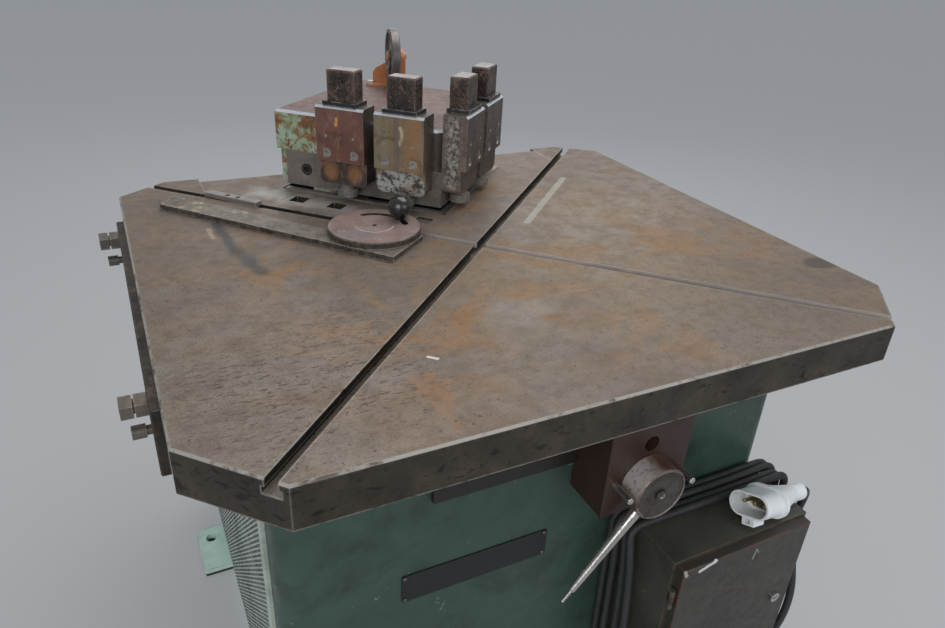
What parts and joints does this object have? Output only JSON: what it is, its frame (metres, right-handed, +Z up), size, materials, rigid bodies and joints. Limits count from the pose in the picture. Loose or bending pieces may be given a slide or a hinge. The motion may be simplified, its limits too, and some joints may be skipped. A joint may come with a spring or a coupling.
{
  "type": "hydraulic corner notcher",
  "caption": "Floor-standing hydraulic notcher: slotted octagonal table, corner head with hold-downs, angle stop, cabinet base, switch box and supply cable.",
  "frame": {"origin": "on the floor, under the middle of the table's width and of its depth", "axes": "+Z up, +Y from the operator to the back of the machine, +X to the operator's right"},
  "size_m": [1.039, 1.044, 1.108],
  "materials": {
    "worn_table": "worn, brown rust patches",
    "ground_steel": "ground",
    "rusty_steel": "dark, rust stained",
    "head_iron": "brown oxide with remains of pale green paint",
    "ram_steel": "dark, oiled",
    "black_steel": "blackened",
    "green_paint": "worn dark green enamel",
    "black_rubber": "matt",
    "orange_paint": "worn",
    "wheel_iron": "worn",
    "knob_plastic": "gloss",
    "dark_rail": "dark",
    "black_plate": "satin",
    "red_primer": "dull red brown",
    "bright_steel": "polished by use",
    "hub_steel": "rust tinted",
    "box_paint": "grey brown, rust at the edges",
    "gear_plastic": "matt",
    "gland_plastic": "matt",
    "plug_plastic": "scuffed pale grey",
    "pin_brass": "tarnished",
    "inner_paint": "machine grey",
    "bare_sheet": "mill finish"
  },
  "bodies": {
    "base": {"table_plate": "worn_table", "die_bed": "worn_table", "lower_blade_left": "ground_steel", "lower_blade_right": "ground_steel", "pivot_and_stud": "black_steel", "stop_bar": "rusty_steel", "stop_bar_screws": "black_steel", "side_bar": "rusty_steel", "side_bar_bolts": "black_steel", "base_cabinet": "green_paint", "base_plate": "green_paint", "foot_pads": "black_rubber", "vent_panel": "green_paint", "rear_cover": "green_paint", "guide_housing": "inner_paint", "guide_bushes": "pin_brass", "main_cylinder": "inner_paint", "front_rail": "dark_rail", "data_plate": "black_plate", "bracket_block": "red_primer", "stop_studs": "bright_steel", "switch_box": "box_paint", "switchgear": "gear_plastic", "cable_gland": "gland_plastic", "cable_coil": "black_rubber", "power_cable": "black_rubber", "plug_shell": "plug_plastic", "plug_pins": "pin_brass", "oil_tank": "inner_paint", "motor_pump": "inner_paint", "valve_block": "inner_paint", "oil_pipes": "bare_sheet", "slug_chute": "bare_sheet"},
    "head": {"head_casting": "head_iron", "upper_blade_left": "ground_steel", "upper_blade_right": "ground_steel", "blade_screws": "black_steel", "holddown_block_1": "head_iron", "holddown_block_2": "head_iron", "holddown_block_3": "head_iron", "holddown_block_4": "head_iron", "face_plates": "rusty_steel", "face_plate_screws": "black_steel", "scraper_collars": "black_steel", "guide_columns": "ram_steel", "piston_rod": "ram_steel", "wheel_bracket": "orange_paint"},
    "holddown_1": {"holddown_ram_1": "ram_steel"},
    "holddown_2": {"holddown_ram_2": "ram_steel"},
    "holddown_3": {"holddown_ram_3": "ram_steel"},
    "holddown_4": {"holddown_ram_4": "ram_steel"},
    "wheel": {"stroke_wheel": "wheel_iron"},
    "fence": {"fence_ruler": "rusty_steel", "protractor_disc": "rusty_steel", "disc_screws": "black_steel"},
    "knob": {"clamp_knob": "knob_plastic"},
    "dial": {"dial_hub": "hub_steel", "dial_lever": "bright_steel"},
    "door": {"box_door": "box_paint"},
    "lock": {"door_lock": "bright_steel"}
  },
  "joints": [
    {"name": "head_slide", "type": "slide", "parent": "base", "child": "head", "axis": [0, 0, 1], "range_m": [-0.0065, 0], "stiffness_N_per_m": 60000, "springref_m": 0.025},
    {"name": "holddown_slide_1", "type": "slide", "parent": "head", "child": "holddown_1", "axis": [0, 0, 1], "range_m": [0, 0.009], "stiffness_N_per_m": 2000, "springref_m": -0.02},
    {"name": "holddown_slide_2", "type": "slide", "parent": "head", "child": "holddown_2", "axis": [0, 0, 1], "range_m": [0, 0.009], "stiffness_N_per_m": 2000, "springref_m": -0.02},
    {"name": "holddown_slide_3", "type": "slide", "parent": "head", "child": "holddown_3", "axis": [0, 0, 1], "range_m": [0, 0.009], "stiffness_N_per_m": 2000, "springref_m": -0.02},
    {"name": "holddown_slide_4", "type": "slide", "parent": "head", "child": "holddown_4", "axis": [0, 0, 1], "range_m": [0, 0.009], "stiffness_N_per_m": 2000, "springref_m": -0.02},
    {"name": "wheel_turn", "type": "hinge", "parent": "head", "child": "wheel", "pos_m": [0.0375, 0.474, 1.056], "axis": [0.9781, -0.2079, 0], "continuous": true},
    {"name": "fence_swivel", "type": "hinge", "parent": "base", "child": "fence", "pos_m": [-0.145, 0.0721, 0.85], "axis": [0, 0, 1], "range_deg": [-6.5, 18]},
    {"name": "knob_turn", "type": "hinge", "parent": "base", "child": "knob", "pos_m": [-0.09748, 0.08404, 0.88], "axis": [0, 0, 1], "range_deg": [0, 180]},
    {"name": "dial_turn", "type": "hinge", "parent": "base", "child": "dial", "pos_m": [0.084, -0.4, 0.636], "axis": [0, -1, 0], "range_deg": [-42, 32]},
    {"name": "door_swing", "type": "hinge", "parent": "base", "child": "door", "pos_m": [0.1254, -0.4372, 0.35], "axis": [0, 0, -1], "range_deg": [0, 110]},
    {"name": "lock_turn", "type": "hinge", "parent": "door", "child": "lock", "pos_m": [0.352, -0.44, 0.35], "axis": [0, -1, 0], "range_deg": [0, 90]}
  ]
}
